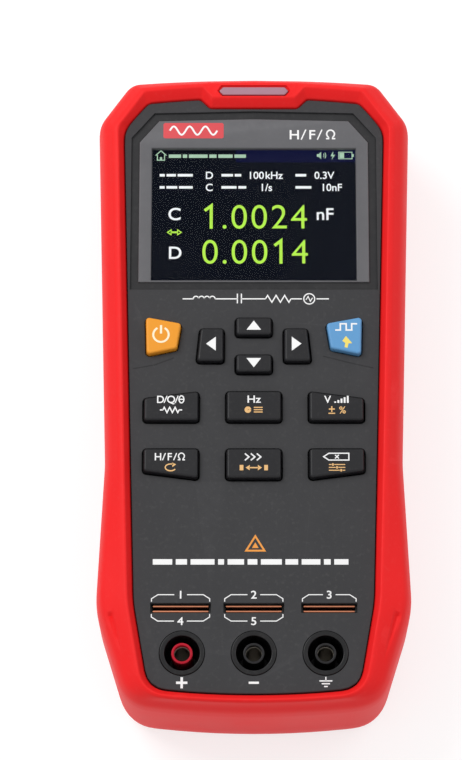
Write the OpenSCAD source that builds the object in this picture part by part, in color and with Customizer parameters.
// Handheld component tester in a rubber boot, lying on its back with the panel facing up.
// Millimetres. +Z comes out of the panel, +Y points to the display end, +X is to the right,
// and the origin is the centre of the boot's back rim.

/* [Overall] */
// Width over the boot's shoulders, before their corners are rounded
body_w = 87; // [86:0.5:110]
// Length over the boot's two ends
body_l = 181.5; // [178:0.5:220]
// Thickness from the boot's back rim to its front crest
body_t = 40; // [38:0.5:52]

/* [Boot] */
// Wall of the rubber boot beside the shells
boot_wall = 4; // [3:0.1:4.4]
// Height of the crest above the panel
rim_h = 2; // [1:0.1:3]
// Width of the slope from the crest down to the panel
rim_slope_w = 1.8; // [1:0.1:2.4]
// Extra width of that slope at the display end
rim_top_w = 1.4; // [0:0.1:2]
// Depth of the slope that falls outwards from the crest
rim_fall = 5.2; // [4:0.1:8]
// Thickness of the front lip that holds the front shell
front_lip_t = 1.8; // [1.2:0.1:2.2]
// Thickness of the back lip, which is also how far the back face is sunk
back_lip_t = 1.5; // [1:0.1:2.5]
// Width of the back lip and wall together
back_lip_w = 5.5; // [5:0.1:7]
// Width of the flat front edge of the indicator block
block_w = 24.4; // [22:0.2:30]
// How far the indicator block reaches into the panel
block_dip = 3.1; // [2:0.1:4]

/* [Shells] */
// Wall of both shells
shell_wall = 2.2; // [1.6:0.1:3]
// Thickness of the panel
face_t = 2.4; // [2:0.1:3]
// Thickness of the back
floor_t = 2.4; // [2:0.1:3.5]
// Height of the joint between the shells
split_z = 22; // [18:0.5:24]
// Outer radius of the screw posts
post_r = 3.3; // [3:0.1:4]
// Gap between the boot and the shells
boot_gap = 0.1; // [0.05:0.05:0.3]

/* [Display] */
// Width of the display window
window_w = 56.6; // [47:0.2:60]
// Height of the display window
window_h = 38.9; // [34:0.1:42]
// Width of the bezel plate at its shoulders
bezel_w = 63.6; // [62:0.2:66]
// Height of the bezel plate
bezel_h = 48.2; // [46:0.1:52]
// Size of the bezel's two cut corners
bezel_cut = 5.4; // [3:0.1:8]
// Thickness of the bezel plate
bezel_t = 1.6; // [1.2:0.1:2]
// Width of the sunk groove round the bezel
groove_w = 2.2; // [1:0.1:2.6]
// Depth of that groove
groove_d = 0.7; // [0.3:0.1:1]
// Distance from the boot's top end to the bezel
bezel_from_top = 13.6; // [13:0.1:20]
// Thickness of the clear lens
lens_t = 1.1; // [0.8:0.1:1.4]
// Width of the display module
lcd_w = 62; // [60:0.5:63]
// Thickness of the display module
lcd_t = 3; // [2.4:0.1:3.2]

/* [Keys] */
// Height of the keys above the panel
key_h = 1.9; // [1.2:0.1:2]
// Travel of a key
key_travel = 0.8; // [0.4:0.1:1]
// Gap round a key in its hole
key_gap = 0.25; // [0.15:0.05:0.4]
// Width of the flange that keeps a key in
key_flange = 0.8; // [0.5:0.1:1]
// Thickness of that flange
key_flange_t = 0.8; // [0.6:0.1:1]
// Corner radius of the keys
key_r = 1; // [0.5:0.1:2]
// Distance from the bezel's lower edge to the middle of the arrow keys
pad_drop = 18.7; // [18:0.1:24]
// Width of the up and down keys
arrow_w = 10; // [8:0.1:11]
// Height of the up and down keys
arrow_h = 5.4; // [4.5:0.1:7]
// Distance of the up and down keys from the middle of the arrow keys
arrow_off_y = 5.3; // [5:0.1:6]
// Width of the left and right keys at their upper end
side_w = 6.6; // [5:0.1:7]
// Height of the left and right keys
side_h = 9.8; // [8:0.1:11]
// Extra width of the left and right keys at their lower end
side_lean = 1; // [0:0.1:1.5]
// Distance of the left and right keys from the centre line
side_off_x = 8.1; // [7.6:0.1:9]
// Width of a function key
func_w = 15.1; // [12:0.1:16]
// Height of a function key
func_h = 8.7; // [7:0.1:10]
// Distance between the columns of function keys
func_pitch_x = 22.4; // [19:0.1:23]
// Distance between the two rows of function keys
func_pitch_y = 16.2; // [13:0.1:18]
// How much the outer function keys slant
func_slant = 2; // [0:0.1:3]
// Distance from the arrow keys' middle to the first row of function keys
func_drop = 17.4; // [14:0.1:20]

/* [Jacks and slots] */
// Distance between neighbouring jacks
jack_pitch = 19.05; // [15.8:0.05:20]
// Distance from the boot's bottom end to the jacks
jack_from_end = 15.55; // [15:0.05:20]
// Radius of the socket's well
well_r = 4.7; // [4.4:0.1:5]
// Radius of the collar round the well
collar_r = 6; // [5.6:0.1:6.4]
// Outer radius of the insulating tube in the well
tube_r = 2.85; // [2.7:0.05:3]
// Radius of the plug bore in the metal sleeve
plug_r = 2.05; // [2:0.01:2.1]
// Length of the plug bore
plug_l = 18; // [14:0.5:20]
// Depth from the panel to the terminal board
jack_depth = 24.9; // [22:0.1:26]
// Distance from the jacks to the slots
slot_rise = 12.3; // [11.5:0.1:14]
// Height of a slot across its opening
slot_h = 2.6; // [2:0.1:3.2]
// Length of the two outer measuring slots
slot_l = 16.1; // [12:0.1:16.6]
// Length of the guard slot
guard_slot_l = 14.9; // [10:0.1:15]
// Thickness of a slot's copper blade
blade_t = 0.5; // [0.3:0.1:0.6]

/* [Back] */
// Width of the tilt stand
stand_w = 46; // [36:1:52]
// Length of the tilt stand
stand_l = 62; // [50:1:66]
// Thickness of the tilt stand
stand_t = 2.4; // [2:0.1:3]
// Radius of the stand's hinge pins
stand_pin_r = 1.2; // [1:0.1:1.4]
// Running clearance of the hinge pins
pin_gap = 0.05; // [0.02:0.01:0.1]
// Width of the battery door
door_w = 58; // [57:0.5:62]
// Length of the battery door
door_l = 51; // [50:0.5:54]
// Thickness of the battery door
door_t = 1.6; // [1.2:0.1:1.8]
// Size of the battery pack along X, Y and Z
pack_size = [50, 38, 10];

/* [Hidden] */
$fn = 48;

cut = 0.01;           // overrun of a cutter past the face that it opens
top_y = body_l / 2;
end_y = -body_l / 2;

// Heights, from the panel down and from the back up
panel_z = body_t - rim_h;
panel_under_z = panel_z - face_t;
lip_under_z = panel_z - front_lip_t;
shoulder_z = lip_under_z - boot_gap;
shoulder_under_z = shoulder_z - face_t;
board_t = 1.6;
board_drop = 4;       // space between the panel and the board
board_top_z = panel_under_z - board_drop;
board_z = board_top_z - board_t;
terminal_top_z = panel_z - jack_depth;
back_z = back_lip_t;
floor_z = back_z + floor_t;

// ---- Outlines ------------------------------------------------------------------------
// An outline is a clockwise list of [x, y, cut], where cut is how far a corner's rounding
// reaches along its two sides. The boot and the panel have matching corners, so that the
// boot's faces can run from one outline to the other.
crown_steps = 5;
crown_span = 0.75;    // share of the half width that a crown's own points cover
corner_steps = 4;
least_reach = 0.4;

function unit(v) = v / norm(v);
function flat(p) = [p[0], p[1]];
function outward(a, b) = let(d = unit(flat(b) - flat(a))) [-d[1], d[0]];

function mirrored(half) = concat(half, [
    for (i = [len(half) - 2:-1:1]) [-half[i][0], half[i][1], half[i][2]]
]);

function inset(outline, d) = let(n = len(outline)) [
    for (i = [0:n - 1])
        let(
            p = outline[i],
            before = outward(outline[(i + n - 1) % n], p),
            after = outward(p, outline[(i + 1) % n]),
            k = d / (1 + before * after),
            reach = p[2] - d * norm(before - after) / norm(before + after)
        )
        [
            p[0] - k * (before[0] + after[0]), p[1] - k * (before[1] + after[1]),
            p[2] == 0 ? 0 : max(reach, least_reach)
        ]
];

function bend(a, b, c, s) = pow(1 - s, 2) * a + 2 * s * (1 - s) * b + s * s * c;

function soften(outline) = let(n = len(outline)) [
    for (i = [0:n - 1])
        let(
            p = flat(outline[i]),
            reach = outline[i][2],
            a = p + reach * unit(flat(outline[(i + n - 1) % n]) - p),
            b = p + reach * unit(flat(outline[(i + 1) % n]) - p)
        )
        each reach == 0 ? [p] : [for (s = [0:1 / corner_steps:1]) bend(a, p, b, s)]
];

function crown_y(x, half_w, y, drop) = y - drop * pow(x / half_w, 2);
function crown(half_w, y, drop) = [
    for (i = [0:crown_steps - 1])
        let(x = half_w * crown_span * i / crown_steps)
        [x, crown_y(x, half_w, y, drop), 0]
];

function backwards(list) = [for (i = [len(list) - 1:-1:0]) list[i]];

// A top edge bows between its corners, and its middle may dip where the indicator block
// stands. The boot's edge has the same points without the dip.
notch_r = 0.8;
notch_x = [block_w / 2, block_w / 2 + 2.7];
crown_x = [notch_x[1] + 3, notch_x[1] + 8];

function top_edge(half_w, y, drop, dip = 0) = [
    [0, y - dip, 0],
    [notch_x[0], dip == 0 ? crown_y(notch_x[0], half_w, y, drop) : y - dip, notch_r],
    [notch_x[1], crown_y(notch_x[1], half_w, y, drop), notch_r],
    each [for (x = crown_x) [x, crown_y(x, half_w, y, drop), 0]]
];

// Corners measured in from the boot's own ends and sides
boot_top_x = body_w / 2 - 8.8;
boot_end_x = body_w / 2 - 9.1;
boot_top_drop = 1.35;
boot_end_drop = 2.5;
waist_y = end_y + 69.5;
boot_outline = mirrored(concat(
    top_edge(boot_top_x, top_y, boot_top_drop),
    [
        [boot_top_x, top_y - boot_top_drop, 5],
        [body_w / 2, top_y - 13.8, 6],
        [body_w / 2 - 2.9, waist_y, 0],
        [body_w / 2 - 0.9, end_y + 28.7, 5],
        [boot_end_x, end_y + boot_end_drop, 7]
    ],
    backwards(crown(boot_end_x, end_y, -boot_end_drop))
));

panel_top_x = body_w / 2 - 14.1;
panel_end_x = body_w / 2 - 15.6;
panel_top_y = top_y - 7.55;
panel_end_y = end_y + 4.55;
panel_drop = 1.6;

// The panel's outline. Lift moves its top edge out, dip makes room for the indicator block,
// and rise moves its bottom edge in.
function panel_outline(lift, dip, rise) = mirrored(concat(
    top_edge(panel_top_x, panel_top_y + lift, panel_drop, dip),
    [
        [panel_top_x, panel_top_y + lift - panel_drop, 1],
        [body_w / 2 - 7.5, top_y - 17.1, 3],
        [body_w / 2 - 10.2, waist_y, 0],
        [body_w / 2 - 11.5, end_y + 29.5, 3],
        [panel_end_x, panel_end_y + rise + panel_drop, 5]
    ],
    backwards(crown(panel_end_x, panel_end_y + rise, -panel_drop))
));

function boot_ring(d) = soften(inset(boot_outline, d));
function panel_ring(d, lift = 0, dip = 0, rise = 0) =
    soften(inset(panel_outline(lift, dip, rise), d));

shell_inset = boot_wall + boot_gap;
cavity_inset = shell_inset + shell_wall;

// ---- Layout ----------------------------------------------------------------------------
bezel_top_y = top_y - bezel_from_top;
bezel_end_y = bezel_top_y - bezel_h;
window_edge = 0.5;    // bezel left below the window
window_end_y = bezel_end_y + window_edge;
window_y = window_end_y + window_h / 2;
bezel_z = panel_z - bezel_t;
lens_w = window_w + 4;
lens_end_y = bezel_end_y + 0.1;
lens_h = window_end_y + window_h + 2 - lens_end_y;
seat_gap = 0.1;
holder_t = 0.5;
holder_wall = 1.2;
lcd_z = board_top_z + holder_t;
lcd_h = lens_h + 2;
lcd_y = lens_end_y + lens_h / 2;

pad_y = bezel_end_y - pad_drop;
func_y = [pad_y - func_drop, pad_y - func_drop - func_pitch_y];

jack_y = end_y + jack_from_end;
jack_xs = [-jack_pitch, 0, jack_pitch];
slot_y = jack_y + slot_rise;
guard_slot_x = 20.1;
slot_spans = [[-19.5, slot_l], [0, slot_l], [guard_slot_x, guard_slot_l]];

post_top = [boot_top_x - 3.7, top_y - 13.8];
post_end = [body_w / 2 - 11.5, slot_y + 6];
post_places = [
    post_top, [-post_top[0], post_top[1]], post_end, [-post_end[0], post_end[1]]
];
board_screw_top_y = bezel_end_y - 5.2;
board_screw_end_y = func_y[1] - 10.4;
board_screw_x = 31.6;
board_screw_places = [
    for (side = [-1, 1]) for (y = [board_screw_top_y, board_screw_end_y])
        [side * board_screw_x, y]
];
terminal_screw_places = [
    for (side = [-1, 1]) for (p = [[23.5, slot_y + 7.5], [28, jack_y + 3.2]])
        [side * p[0], p[1]]
];
door_y = -27.2;
door_end_y = door_y - door_l / 2;
pack_y = door_y + 3.2;
stand_hinge_y = top_y - 23;
stand_hinge_z = back_z + 1.7;

// ---- Shared shapes ---------------------------------------------------------------------
module prism(points, z0, z1) {
    translate([0, 0, z0]) linear_extrude(z1 - z0) polygon(points);
}

module block(x, y, w, h, z0, z1) {
    translate([x - w / 2, y - h / 2, z0]) cube([w, h, z1 - z0]);
}

module rod(x, y, r, z0, z1) {
    translate([x, y, z0]) cylinder(r = r, h = z1 - z0);
}

module rounded(points, r, grow = 0) {
    offset(delta = grow) offset(r = r) offset(delta = -r) polygon(points);
}

// Surface through closed rings of matching points, joined end to end
module ring_body(rings) {
    n = len(rings[0][0]);
    m = len(rings);
    polyhedron(
        points = [for (ring = rings) for (p = ring[0]) [p[0], p[1], ring[1]]],
        faces = [
            for (i = [0:m - 1]) for (j = [0:n - 1])
                let(
                    a = i * n + j,
                    b = i * n + (j + 1) % n,
                    c = (i + 1) % m * n + (j + 1) % n,
                    d = (i + 1) % m * n + j
                )
                each [[a, b, c], [a, c, d]]
        ]
    );
}

module screw(place, head_z, head_r, head_t, shank_r, tip_z) {
    side = tip_z > head_z ? 1 : -1;
    shank = abs(tip_z - head_z);
    translate([place[0], place[1], head_z]) mirror([0, 0, side > 0 ? 0 : 1])
        difference() {
            union() {
                cylinder(r = shank_r, h = shank);
                translate([0, 0, -head_t]) cylinder(r = head_r, h = head_t);
            }
            for (turn = [0, 90]) rotate(turn)
                translate([-head_r * 0.6, -0.3, -head_t - cut])
                    cube([head_r * 1.2, 0.6, head_t / 2]);
        }
}

// ---- Boot ------------------------------------------------------------------------------
crest_top_w = 1.4;    // width of the rim's rounded top
crest_drop = 0.6;     // fall across it
crest_rise = 0.6;     // how much narrower the rim is at the jacks' end
foot_gap = 0.5;       // ditch between the panel and the foot of the rim's inner slope
foot_t = 1;           // depth of that ditch
block_slope_w = rim_slope_w + 0.95;
lens_half = [9.7, 1.2];
lens_point = 1.1;
lens_top_y = panel_top_y + 1.7;
lens_sink = 0.5;
groove_gap = 0.5;
usb_x = 17;
usb_z = board_z - 1.6;
usb_body = [9, 7.4, 3.2];
flap_w = 15;
flap_h = 8.4;
flap_t = 1.8;
flap_gap = 0.3;
flap_pin_r = 0.5;
flap_barrel_r = 0.9;
flap_face_y = top_y - 1.5;
flap_back_y = flap_face_y - flap_t;
flap_hinge_z = usb_z - flap_h / 2 + flap_barrel_r;

function lens_shape(d) = let(
    x = lens_half[0] + d,
    y = lens_half[1] + d,
    neck = x - lens_point
) [
    for (p = [[-x, 0], [-neck, y], [neck, y], [x, 0], [neck, -y], [-neck, -y]])
        [p[0], p[1] + lens_top_y]
];

module flap_room(d) {
    translate([usb_x - flap_w / 2 - d, flap_back_y - d, usb_z - flap_h / 2 - d])
        cube([flap_w + 2 * d, body_l, flap_h + 2 * d]);
}

module usb_way(d) {
    translate([usb_x - usb_body[0] / 2 - d, flap_back_y - 12, usb_z - usb_body[2] / 2 - d])
        cube([usb_body[0] + 2 * d, 20, usb_body[2] + 2 * d]);
}

module bumper_boot() {
    // The crest stands further out at the block and at the display end
    crest_dip = block_dip + rim_slope_w + rim_top_w - block_slope_w;
    foot = panel_ring(-boot_gap, 0, block_dip);
    color("crimson") difference() {
        ring_body([
            [boot_ring(2.2), 0],
            [boot_ring(0.7), 2.5],
            [boot_ring(0), 8],
            [boot_ring(0), body_t - 2 * rim_fall],
            [boot_ring(0.3), body_t - rim_fall - 1.5],
            [boot_ring(1.5), body_t - rim_fall + 1.8],
            [
                panel_ring(-rim_slope_w - crest_top_w, rim_top_w - 0.2, 0, crest_rise),
                body_t - crest_drop
            ],
            [panel_ring(-rim_slope_w, rim_top_w, crest_dip), body_t],
            [panel_ring(-foot_gap, 0, block_dip), panel_z],
            [foot, panel_z - foot_t],
            [foot, lip_under_z],
            [boot_ring(boot_wall), lip_under_z],
            [boot_ring(boot_wall), back_lip_t],
            [boot_ring(back_lip_w), back_lip_t],
            [boot_ring(back_lip_w), 0]
        ]);
        prism(lens_shape(0.1), lip_under_z - 1, body_t + 1);
        prism(lens_shape(groove_gap), body_t - lens_sink - 0.5, body_t + 1);
        flap_room(flap_gap);
        usb_way(0.8);
        translate([usb_x, flap_face_y - flap_barrel_r, flap_hinge_z]) rotate([0, 90, 0])
            cylinder(r = flap_pin_r + pin_gap, h = flap_w + 4, center = true);
    }
}

module usb_cover() {
    color("firebrick") union() {
        difference() {
            translate([usb_x - flap_w / 2, flap_back_y, flap_hinge_z])
                cube([flap_w, flap_t, flap_h - flap_barrel_r]);
            translate([usb_x - 3, flap_face_y - 0.5, usb_z + flap_h / 2 - 1.2])
                cube([6, 1, 1.2 + cut]);
        }
        translate([usb_x, flap_face_y - flap_barrel_r, flap_hinge_z]) rotate([0, 90, 0])
            cylinder(r = flap_barrel_r, h = flap_w, center = true);
        translate([usb_x, flap_face_y - flap_barrel_r, flap_hinge_z]) rotate([0, 90, 0])
            cylinder(r = flap_pin_r, h = flap_w + 3, center = true);
    }
}

module indicator_lens() {
    color("thistle") prism(lens_shape(0), shoulder_under_z - 0.6, body_t - lens_sink);
}

// ---- Keys ------------------------------------------------------------------------------
arrow_half = [arrow_w / 2, arrow_h / 2];
corner_key = [[29.6, 8.1], [19.7, 6.2], [20.9, -1.1], [29.3, -2.9]];

function centred(x, y, half) = [
    for (c = [[-1, -1], [-1, 1], [1, 1], [1, -1]]) [x + c[0] * half[0], y + c[1] * half[1]]
];
function side_key(side) = [
    [side * side_off_x, pad_y + side_h / 2],
    [side * (side_off_x + side_w), pad_y + side_h / 2],
    [side * (side_off_x + side_w + side_lean), pad_y - side_h / 2],
    [side * side_off_x, pad_y - side_h / 2]
];
function outer_key(side) = [for (p = corner_key) [side * p[0], pad_y + p[1]]];
// An outer function key loses a wedge on its outer corner: the first row at its upper edge,
// the second row at its lower edge
function slanted(side, row) = let(
    x = side * func_pitch_x,
    near = x - side * func_w / 2,
    far = x + side * func_w / 2,
    up = row == 0 ? 1 : -1,
    y = func_y[row]
) [
    [near, y + up * func_h / 2], [far, y + up * (func_h / 2 - func_slant)],
    [far, y - up * func_h / 2], [near, y - up * func_h / 2]
];
function middle(points) = [
    (min([for (p = points) p[0]]) + max([for (p = points) p[0]])) / 2,
    (min([for (p = points) p[1]]) + max([for (p = points) p[1]])) / 2
];

shape_power = outer_key(-1);
shape_trigger = outer_key(1);
shape_up = centred(0, pad_y + arrow_off_y, arrow_half);
shape_down = centred(0, pad_y - arrow_off_y, arrow_half);
shape_left = side_key(-1);
shape_right = side_key(1);
shape_function_1 = slanted(-1, 0);
shape_function_2 = centred(0, func_y[0], [func_w / 2, func_h / 2]);
shape_function_3 = slanted(1, 0);
shape_function_4 = slanted(-1, 1);
shape_function_5 = centred(0, func_y[1], [func_w / 2, func_h / 2]);
shape_function_6 = slanted(1, 1);
key_shapes = [
    shape_power, shape_trigger, shape_up, shape_down, shape_left, shape_right,
    shape_function_1, shape_function_2, shape_function_3,
    shape_function_4, shape_function_5, shape_function_6
];

key_rest_gap = 0.1;   // between a key's flange and the panel
flange_top_z = panel_under_z - key_rest_gap;
flange_z = flange_top_z - key_flange_t;
dome_r = 2.4;
dome_top_z = flange_z - key_travel - 0.3;
mat_t = 0.8;
pill_r = 1.4;
pill_t = 0.4;
pill_room = 0.9;      // depth of the hollow under a dome

module key(points) {
    translate([0, 0, flange_top_z - cut])
        linear_extrude(panel_z + key_h - flange_top_z + cut) rounded(points, key_r);
    translate([0, 0, flange_z]) linear_extrude(key_flange_t)
        rounded(points, key_r, key_flange);
}

module key_power() { color("orange") key(shape_power); }
module key_trigger() { color("steelblue") key(shape_trigger); }
module key_up() { color("dimgray") key(shape_up); }
module key_down() { color("dimgray") key(shape_down); }
module key_left() { color("dimgray") key(shape_left); }
module key_right() { color("dimgray") key(shape_right); }
module key_function_1() { color("dimgray") key(shape_function_1); }
module key_function_2() { color("dimgray") key(shape_function_2); }
module key_function_3() { color("dimgray") key(shape_function_3); }
module key_function_4() { color("dimgray") key(shape_function_4); }
module key_function_5() { color("dimgray") key(shape_function_5); }
module key_function_6() { color("dimgray") key(shape_function_6); }

module keypad_mat() {
    high = pad_y + corner_key[0][1] + 1.4;
    low = func_y[1] - func_h / 2 - 1.4;
    color("gainsboro") difference() {
        union() {
            block(0, (high + low) / 2, 2 * board_screw_x - 2, high - low, board_top_z,
                board_top_z + mat_t);
            for (shape = key_shapes)
                rod(middle(shape)[0], middle(shape)[1], dome_r, board_top_z, dome_top_z);
        }
        for (shape = key_shapes)
            rod(middle(shape)[0], middle(shape)[1], dome_r - 0.6, board_top_z - cut,
                board_top_z + pill_room);
    }
}

module carbon_pills() {
    top = board_top_z + pill_room;
    color("black") for (shape = key_shapes)
        rod(middle(shape)[0], middle(shape)[1], pill_r, top - pill_t, top);
}

// ---- Front shell and display -----------------------------------------------------------
function bezel_shape(d) = let(
    x = bezel_w / 2 + d,
    high = bezel_top_y + d,
    low = bezel_end_y - d,
    slope = bezel_cut + 0.42 * d
) [
    [-x, low], [-x, high - slope - 1.6], [-x + slope, high - 0.6], [0, high],
    [x - slope, high - 0.6], [x, high - slope - 1.6], [x, low]
];

module key_holes() {
    translate([0, 0, panel_under_z - cut]) linear_extrude(face_t + 2 * cut)
        for (shape = key_shapes) rounded(shape, key_r, key_gap);
}

module slot_holes(z0, z1) {
    for (span = slot_spans) block(span[0], slot_y, span[1], slot_h, z0, z1);
}

module front_shell() {
    pilot_r = 1.25;
    color("dimgray") difference() {
        union() {
            difference() {
                union() {
                    prism(boot_ring(shell_inset), split_z, shoulder_z);
                    prism(panel_ring(0, 0, block_dip), shoulder_z - 1, panel_z);
                }
                prism(boot_ring(cavity_inset), split_z - cut, shoulder_under_z);
                prism(panel_ring(shell_wall), shoulder_under_z - 1, panel_under_z);
            }
            for (place = post_places)
                rod(place[0], place[1], post_r, split_z, panel_under_z + 0.5);
            for (place = board_screw_places)
                rod(place[0], place[1], 2, board_top_z, panel_under_z + 0.5);
        }
        prism(lens_shape(0.1), shoulder_under_z - 1, panel_z);
        prism(bezel_shape(groove_w), panel_z - groove_d, panel_z + 1);
        prism(bezel_shape(seat_gap), bezel_z, panel_z + 1);
        block(0, lens_end_y + lens_h / 2, lens_w + 2 * seat_gap, lens_h + 2 * seat_gap,
            panel_under_z - 1, panel_z);
        key_holes();
        slot_holes(panel_under_z - 1, panel_z + 1);
        for (x = jack_xs) rod(x, jack_y, collar_r + 0.1, panel_under_z - 1, panel_z + 1);
        for (place = post_places) rod(place[0], place[1], pilot_r, split_z - 1, panel_under_z - 2);
        for (place = board_screw_places)
            rod(place[0], place[1], 0.95, board_top_z - 1, panel_under_z + 0.2);
        usb_way(0.4);
    }
}

module display_bezel() {
    color("slategray") difference() {
        prism(bezel_shape(0), bezel_z, panel_z - 0.1);
        block(0, window_y, window_w, window_h, bezel_z - 1, panel_z + 1);
    }
}

module display_lens() {
    color("lightsteelblue", 0.5)
        block(0, lens_end_y + lens_h / 2, lens_w, lens_h, bezel_z - lens_t, bezel_z);
}

module lcd_module() {
    color("black") block(0, lcd_y, lcd_w, lcd_h, lcd_z, lcd_z + lcd_t);
}

module lcd_holder() {
    side = 2 * holder_wall + 0.2;
    color("whitesmoke") difference() {
        block(0, lcd_y, lcd_w + side, lcd_h + side, board_top_z, lcd_z + lcd_t * 0.5);
        block(0, lcd_y, lcd_w + 0.2, lcd_h + 0.2, lcd_z, lcd_z + lcd_t);
        block(0, lcd_y - lcd_h / 2, 20, 2 * side, lcd_z, lcd_z + lcd_t);
    }
}

flex_y = lcd_y - lcd_h / 2;
flex_w = 18;
flex_drop_y = flex_y - holder_wall - 0.8;
connector_y = flex_drop_y - 2.4;

module lcd_connector() {
    color("ivory") block(0, connector_y, flex_w + 3, 2.4, board_top_z, board_top_z + 1.2);
}

module lcd_flex() {
    high = lcd_z + 1;
    low = board_top_z + 0.6;
    color("darkgoldenrod") {
        block(0, (flex_y + flex_drop_y) / 2, flex_w, flex_y - flex_drop_y, high, high + 0.2);
        block(0, flex_drop_y + 0.1, flex_w, 0.2, low, high + 0.2);
        block(0, (flex_drop_y + connector_y + 1.2) / 2 + 0.1, flex_w,
            flex_drop_y - connector_y - 1.2 + 0.2, low, low + 0.2);
    }
}

// ---- Boards and electronics ------------------------------------------------------------
edge_room = 0.8;
board_end_y = slot_y + 6.2;
terminal_up_y = slot_y + 11;

module board_shape(low_y, high_y) {
    intersection() {
        polygon(boot_ring(cavity_inset + edge_room));
        translate([-body_w, low_y]) square([2 * body_w, high_y - low_y]);
    }
}

module main_board() {
    color("darkgreen") translate([0, 0, board_z]) linear_extrude(board_t) difference() {
        board_shape(board_end_y, top_y);
        for (place = post_places) translate(place) circle(post_r + 0.5);
        for (place = board_screw_places) translate(place) circle(1.15);
    }
}

module indicator_leds() {
    color("white") for (x = [-6, 0, 6])
        block(x, lens_top_y - 1.9, 3.2, 1.6, board_top_z, board_top_z + 1);
}

module processor_chip() {
    color("black") block(-14, window_y + 4, 14, 14, board_z - 1.4, board_z);
}

module shield_can() {
    x = -6;
    y = func_y[0] + 2;
    color("silver") difference() {
        block(x, y, 36, 24, board_z - 5, board_z);
        block(x, y, 35.4, 23.4, board_z - 4.7, board_z + 1);
    }
}

module relays() {
    color("darkorange") for (x = [-18, -6, 6, 18])
        block(x, board_end_y + 14, 10, 7, board_z - 5.5, board_z);
}

module buzzer() {
    color("black") difference() {
        rod(18, window_y, 7, board_z - 4, board_z);
        rod(18, window_y, 1.2, board_z - 4 - cut, board_z - 2);
    }
}

lead_x = 20;
lead_pitch = 2.5;
lead_r = 0.7;
lead_z = back_z + door_t + 7;
pack_end_y = pack_y + pack_size[1] / 2;
lead_y = pack_end_y + 5;
plug_h = 4;

module battery_connector() {
    color("ivory") block(lead_x, lead_y, 3 * lead_pitch, 5, board_z - plug_h, board_z);
}

module battery_leads() {
    color("red") for (side = [-0.5, 0.5]) translate([lead_x + side * lead_pitch, 0, 0]) {
        translate([0, pack_end_y, lead_z]) rotate([-90, 0, 0])
            cylinder(r = lead_r, h = lead_y - pack_end_y);
        translate([0, lead_y, lead_z]) sphere(r = lead_r);
        rod(0, lead_y, lead_r, lead_z, board_z - plug_h);
    }
}

header_y = terminal_up_y - 2.2;

module board_header() {
    pins = 8;
    color("black") difference() {
        block(0, header_y, 2.54 * pins, 2.5, terminal_top_z, board_z);
        for (i = [0:pins - 2])
            block(2.54 * (i + 1 - pins / 2), header_y, 0.6, 3, terminal_top_z + 2, board_z - 2);
    }
}

module terminal_board() {
    color("darkgreen") translate([0, 0, terminal_top_z - board_t]) linear_extrude(board_t)
        difference() {
            board_shape(end_y, terminal_up_y);
            for (place = post_places) translate(place) circle(post_r + 0.6);
            for (place = terminal_screw_places) translate(place) circle(1.15);
            translate([0, jack_y]) for (x = jack_xs) translate([x, 0]) circle(1.1);
        }
}

module board_screws() {
    color("silver") for (place = board_screw_places)
        screw(place, board_z, 2, 1.1, 0.9, panel_under_z - 0.4);
}

module terminal_screws() {
    color("silver") for (place = terminal_screw_places)
        screw(place, terminal_top_z, 2, 1.1, 0.9, terminal_top_z - board_t - 4.5);
}

// ---- Jacks and slots -------------------------------------------------------------------
collar_h = 0.3;
jack_base_t = 2;
tube_sink = 0.5;      // of the insulating tube below the collar
sleeve_sink = 2.5;    // of the metal sleeve below the tube's end
sleeve_r = plug_r + 0.35;
tube_top_z = panel_z + collar_h - tube_sink;
sleeve_top_z = tube_top_z - sleeve_sink;

module jack_block() {
    color("black") difference() {
        union() {
            for (x = jack_xs)
                rod(x, jack_y, collar_r, terminal_top_z, panel_z + collar_h);
            block(0, jack_y, 2 * jack_pitch, 8, terminal_top_z, terminal_top_z + jack_base_t);
        }
        for (x = jack_xs) {
            rod(x, jack_y, well_r, terminal_top_z + jack_base_t, panel_z + 1);
            rod(x, jack_y, sleeve_r, terminal_top_z - 1, panel_z);
        }
    }
}

module jack_tube(x) {
    difference() {
        rod(x, jack_y, tube_r, terminal_top_z + jack_base_t, tube_top_z);
        rod(x, jack_y, sleeve_r, terminal_top_z, sleeve_top_z);
        rod(x, jack_y, plug_r + 0.1, sleeve_top_z - 1, panel_z + 1);
    }
}

module jack_contact(x) {
    color("silver") difference() {
        union() {
            rod(x, jack_y, sleeve_r, terminal_top_z, sleeve_top_z);
            rod(x, jack_y, 1, terminal_top_z - board_t - 1, terminal_top_z);
        }
        rod(x, jack_y, plug_r, sleeve_top_z - plug_l, sleeve_top_z + 1);
    }
}

module jack_tube_plus() { color("red") jack_tube(jack_xs[0]); }
module jack_tube_minus() { color("black") jack_tube(jack_xs[1]); }
module jack_tube_guard() { color("black") jack_tube(jack_xs[2]); }
module jack_contact_plus() { jack_contact(jack_xs[0]); }
module jack_contact_minus() { jack_contact(jack_xs[1]); }
module jack_contact_guard() { jack_contact(jack_xs[2]); }

slot_block_depth = 12;
blade_off = slot_h / 2 - blade_t / 2 - 0.35;
blade_top_z = panel_z - 1.2;

module slot_block() {
    z0 = panel_under_z - slot_block_depth;
    color("black") difference() {
        union() for (span = slot_spans)
            block(span[0], slot_y, span[1] + 2, slot_h + 2.4, z0, panel_under_z);
        for (span = slot_spans) {
            block(span[0], slot_y, span[1] - 1, slot_h, z0 + 1.5, panel_z);
            for (side = [-1, 1])
                block(span[0], slot_y + side * blade_off, span[1] - 1, blade_t, z0 - 1, z0 + 2);
        }
    }
}

module slot_blades(span) {
    for (side = [-1, 1])
        block(span[0], slot_y + side * blade_off, span[1] - 1.2, blade_t, terminal_top_z,
            blade_top_z);
}

module slot_blades_high() { color("chocolate") slot_blades(slot_spans[0]); }
module slot_blades_low() { color("chocolate") slot_blades(slot_spans[1]); }
module slot_blades_guard() { color("chocolate") slot_blades(slot_spans[2]); }

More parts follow.
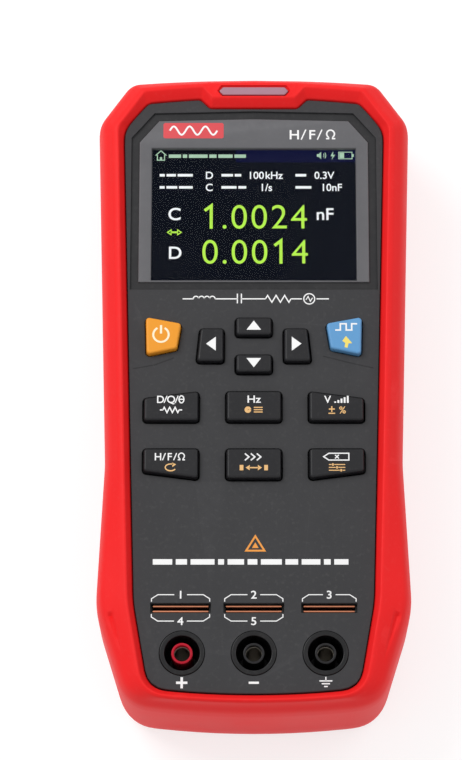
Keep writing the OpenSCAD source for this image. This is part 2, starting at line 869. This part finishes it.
// ---- Rear shell and what it carries ----------------------------------------------------
well_wall = 1.6;
well_room = 0.4;
well_w = pack_size[0] + 2 * well_room;
well_l = pack_size[1] + 2 * well_room;
well_top_z = back_z + door_t + pack_size[2] + 0.6;
door_gap = 0.15;
door_screw_places = [for (side = [-1, 1]) [side * 20, door_end_y + 3]];
stand_gap = 0.3;
pocket_d = stand_t + 0.3;
tray_t = 1.6;
barrel_r = 1.5;
hinge_room_r = 2.1;
stand_pin_l = 2.4;
finger_w = 16;

module stand_pocket() {
    x = stand_w / 2 + stand_gap;
    low = stand_hinge_y - stand_l - stand_gap;
    block(0, (low + stand_hinge_y) / 2, 2 * x, stand_hinge_y - low, back_z - 1,
        back_z + pocket_d);
    translate([0, stand_hinge_y, stand_hinge_z]) rotate([0, 90, 0])
        cylinder(r = hinge_room_r, h = 2 * x, center = true);
    block(0, stand_hinge_y, 2 * x, 2 * hinge_room_r, back_z - 1, stand_hinge_z);
    translate([0, stand_hinge_y, stand_hinge_z]) rotate([0, 90, 0])
        cylinder(r = stand_pin_r + pin_gap, h = stand_w + 2 * stand_pin_l + 0.6, center = true);
    block(0, low - 3, finger_w, 8, back_z - 1, back_z + 1.4);
}

module rear_shell() {
    tray_low = stand_hinge_y - stand_l - 3;
    tray_high = stand_hinge_y + hinge_room_r + 2;
    color("dimgray") difference() {
        union() {
            difference() {
                prism(boot_ring(shell_inset), back_z, split_z);
                prism(boot_ring(cavity_inset), floor_z, split_z + 1);
            }
            block(0, (tray_low + tray_high) / 2, stand_w + 10, tray_high - tray_low, back_z,
                stand_hinge_z + hinge_room_r + tray_t);
            block(0, pack_y, well_w + 2 * well_wall, well_l + 2 * well_wall, back_z,
                well_top_z + well_wall);
            block(0, door_y, door_w + 2, door_l + 2, back_z, back_z + door_t + 1.8);
            for (place = post_places) rod(place[0], place[1], post_r, back_z, split_z);
            for (place = terminal_screw_places)
                rod(place[0], place[1], 2.4, back_z, terminal_top_z - board_t);
            for (place = door_screw_places) rod(place[0], place[1], 2.2, back_z, back_z + 7);
        }
        block(0, pack_y, well_w, well_l, back_z + door_t - 1, well_top_z);
        block(0, door_y, door_w + 2 * door_gap, door_l + 2 * door_gap, back_z - 1,
            back_z + door_t);
        block(lead_x, pack_end_y + 1, 3 * lead_pitch, 6, lead_z - 2, lead_z + 2);
        stand_pocket();
        for (place = post_places) {
            rod(place[0], place[1], 3, back_z - 1, back_z + 3);
            rod(place[0], place[1], 1.7, back_z, split_z + 1);
        }
        for (place = terminal_screw_places)
            rod(place[0], place[1], 0.95, floor_z, terminal_top_z);
        for (place = door_screw_places) rod(place[0], place[1], 0.95, back_z, back_z + 6.2);
    }
}

module battery_door() {
    color("dimgray") difference() {
        block(0, door_y, door_w, door_l, back_z, back_z + door_t);
        for (place = door_screw_places) {
            rod(place[0], place[1], 1.2, back_z - 1, back_z + door_t + 1);
            rod(place[0], place[1], 2.2, back_z - 1, back_z + 1);
        }
        for (i = [0:4])
            block(0, door_y + door_l / 2 - 4 - 1.6 * i, 14, 0.8, back_z - 1, back_z + 0.5);
    }
}

module battery_door_screws() {
    color("silver") for (place = door_screw_places)
        screw(place, back_z + 1, 2, 0.9, 0.9, back_z + 6);
}

module battery_pack() {
    color("steelblue")
        block(0, pack_y, pack_size[0], pack_size[1], back_z + door_t,
            back_z + door_t + pack_size[2]);
}

module rear_screws() {
    color("silver") for (place = post_places)
        screw(place, back_z + 3, 2.8, 1.8, 1.2, split_z + 9);
}

module tilt_stand() {
    z0 = back_z + 0.2;
    low = stand_hinge_y - stand_l;
    margin = 7;
    color("dimgray") difference() {
        union() {
            block(0, (low + stand_hinge_y) / 2, stand_w, stand_l, z0, z0 + stand_t);
            translate([0, stand_hinge_y, stand_hinge_z]) rotate([0, 90, 0])
                cylinder(r = barrel_r, h = stand_w, center = true);
            translate([0, stand_hinge_y, stand_hinge_z]) rotate([0, 90, 0])
                cylinder(r = stand_pin_r, h = stand_w + 2 * stand_pin_l, center = true);
        }
        block(0, (low + stand_hinge_y) / 2, stand_w - 2 * margin, stand_l - 2 * margin, z0 - 1,
            z0 + stand_t / 3);
    }
}

module usb_socket() {
    front_y = flap_back_y - 4;
    color("silver") difference() {
        translate([usb_x - usb_body[0] / 2, front_y - usb_body[1], usb_z - usb_body[2] / 2])
            cube(usb_body);
        difference() {
            translate([usb_x - usb_body[0] / 2 + 0.3, front_y - usb_body[1] + 1,
                usb_z - usb_body[2] / 2 + 0.3])
                cube([usb_body[0] - 0.6, usb_body[1], usb_body[2] - 0.6]);
            block(usb_x, front_y - usb_body[1] + 3, usb_body[0] - 2.4, 6, usb_z - 0.35,
                usb_z + 0.35);
        }
    }
}

bumper_boot();
front_shell();
rear_shell();
display_bezel();
display_lens();
lcd_module();
lcd_holder();
lcd_flex();
indicator_lens();
indicator_leds();
main_board();
processor_chip();
shield_can();
relays();
buzzer();
lcd_connector();
battery_connector();
board_header();
board_screws();
keypad_mat();
carbon_pills();
key_power();
key_trigger();
key_up();
key_down();
key_left();
key_right();
key_function_1();
key_function_2();
key_function_3();
key_function_4();
key_function_5();
key_function_6();
jack_block();
jack_tube_plus();
jack_tube_minus();
jack_tube_guard();
jack_contact_plus();
jack_contact_minus();
jack_contact_guard();
slot_block();
slot_blades_high();
slot_blades_low();
slot_blades_guard();
terminal_board();
terminal_screws();
battery_pack();
battery_leads();
battery_door();
battery_door_screws();
tilt_stand();
rear_screws();
usb_socket();
usb_cover();
